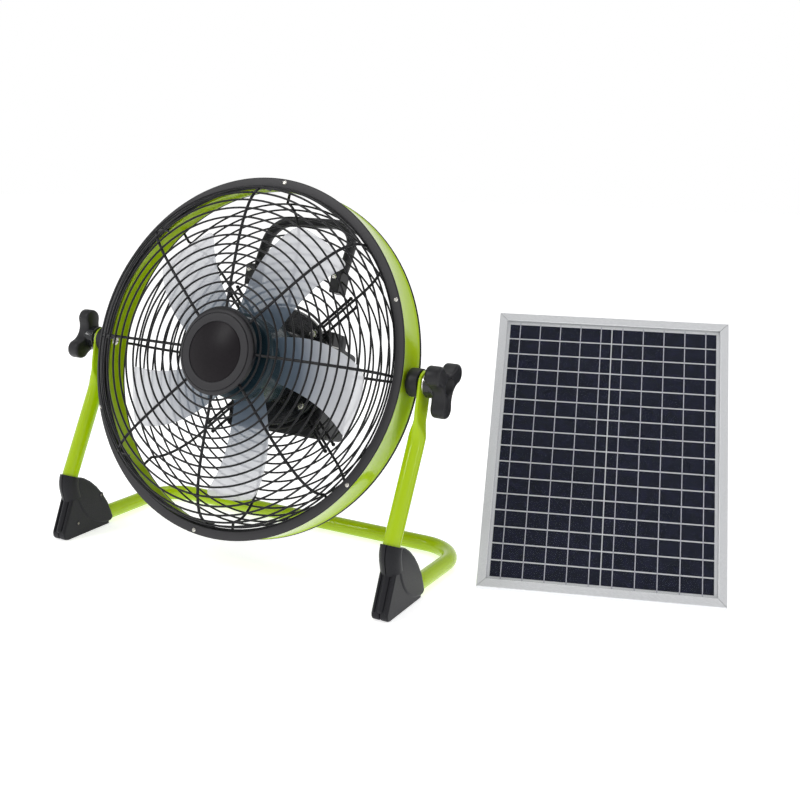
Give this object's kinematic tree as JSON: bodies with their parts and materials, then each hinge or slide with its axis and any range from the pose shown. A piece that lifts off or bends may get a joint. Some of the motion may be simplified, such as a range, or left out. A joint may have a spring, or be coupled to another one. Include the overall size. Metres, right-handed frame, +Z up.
{
  "type": "solar rechargeable drum floor fan",
  "caption": "Round drum fan with wire guards that tilts between the legs of a tube floor stand, with a battery case and handle behind, and a separate framed solar panel on a folding rear leg.",
  "frame": {"origin": "on the floor, at the middle of the bottom of the bounding box of the fan and its panel together", "axes": "+X along the fan's pivot line, from the fan towards the panel; the fan blows towards -Y; +Z up"},
  "size_m": [0.9104, 0.4972, 0.5093],
  "materials": {
    "green_paint": "glossy lime-green paint",
    "grey_paint": "satin dark grey",
    "black_wire": "satin black coated wire",
    "hub_plastic": "fine-grained dark grey",
    "label": "brown-black print film",
    "black_plastic": "moulded, lightly grained",
    "grey_plastic": "moulded dark grey",
    "smoky_plastic": "translucent smoky grey",
    "steel": "bright nickel",
    "brass": "turned",
    "iron": "laminated steel and magnet",
    "battery_wrap": "shrink wrap",
    "circuit_board": "solder mask",
    "red_lens": "translucent",
    "aluminium": "clear anodised",
    "white_sheet": "white film",
    "solar_cells": "dark blue silicon with silver lines",
    "panel_glass": "clear tempered"
  },
  "bodies": {
    "stand": {"stand_tube": "green_paint", "left_foot_inner": "black_plastic", "left_foot_outer": "black_plastic", "right_foot_inner": "black_plastic", "right_foot_outer": "black_plastic", "left_washer": "steel", "right_washer": "steel"},
    "head": {"drum": "green_paint", "rim_band": "grey_paint", "front_guard": "black_wire", "rear_guard": "black_wire", "front_hub_cover": "hub_plastic", "hub_label_disc": "label", "motor_mount_plate": "black_plastic", "motor_housing": "black_plastic", "motor_end_cap": "black_plastic", "stator": "iron", "front_bearing": "steel", "rear_bearing": "steel", "battery_case_front": "grey_plastic", "battery_case_rear": "grey_plastic", "battery_pack": "battery_wrap", "control_board": "circuit_board", "speed_control": "steel", "charge_lens": "red_lens", "charge_socket": "black_plastic", "usb_socket": "steel", "carry_handle": "black_plastic", "left_handle_clamp": "black_plastic", "right_handle_clamp": "black_plastic", "left_pivot_bolt": "steel", "right_pivot_bolt": "steel", "left_spacer_boss": "black_plastic", "right_spacer_boss": "black_plastic"},
    "rotor": {"fan_blade": "smoky_plastic", "blade_nut": "black_plastic", "motor_shaft": "steel", "rotor_magnet": "iron"},
    "left_knob": {"left_clamp_knob": "black_plastic", "left_knob_nut": "brass"},
    "right_knob": {"right_clamp_knob": "black_plastic", "right_knob_nut": "brass"},
    "speed_dial": {"speed_knob": "black_plastic"},
    "panel": {"panel_bottom_rail": "aluminium", "panel_top_rail": "aluminium", "panel_left_rail": "aluminium", "panel_right_rail": "aluminium", "panel_backsheet": "white_sheet", "solar_cell_sheet": "solar_cells", "panel_glass": "panel_glass", "junction_box": "black_plastic", "junction_lid": "black_plastic", "cable_gland": "black_plastic", "left_leg_bracket": "steel", "right_leg_bracket": "steel", "left_leg_pin": "steel", "right_leg_pin": "steel"},
    "rear_leg": {"support_leg": "aluminium"}
  },
  "joints": [
    {"name": "head_tilt", "type": "hinge", "parent": "stand", "child": "head", "pos_m": [-0.16322, -0.12896, 0.2737], "axis": [1, 0, 0], "range_deg": [-180, 180]},
    {"name": "fan_spin", "type": "hinge", "parent": "head", "child": "rotor", "pos_m": [-0.16322, -0.12896, 0.2737], "axis": [0, -0.9548, 0.2974], "continuous": true},
    {"name": "left_knob_turn", "type": "hinge", "parent": "head", "child": "left_knob", "pos_m": [-0.44522, -0.12896, 0.2737], "axis": [-1, 0, 0], "range_deg": [0, 360]},
    {"name": "right_knob_turn", "type": "hinge", "parent": "head", "child": "right_knob", "pos_m": [0.11878, -0.12896, 0.2737], "axis": [1, 0, 0], "range_deg": [0, 360]},
    {"name": "speed_knob_turn", "type": "hinge", "parent": "head", "child": "speed_dial", "pos_m": [-0.16322, 0.0238, 0.22612], "axis": [0, 0.9548, -0.2974], "range_deg": [0, 300]},
    {"name": "panel_place", "type": "slide", "parent": "stand", "child": "panel", "axis": [1, 0, 0], "range_m": [0, 0.3]},
    {"name": "rear_leg_fold", "type": "hinge", "parent": "panel", "child": "rear_leg", "pos_m": [0.25732, 0.1068, 0.19201], "axis": [-0.9483, -0.3173, 0], "range_deg": [0, 64.2]}
  ]
}
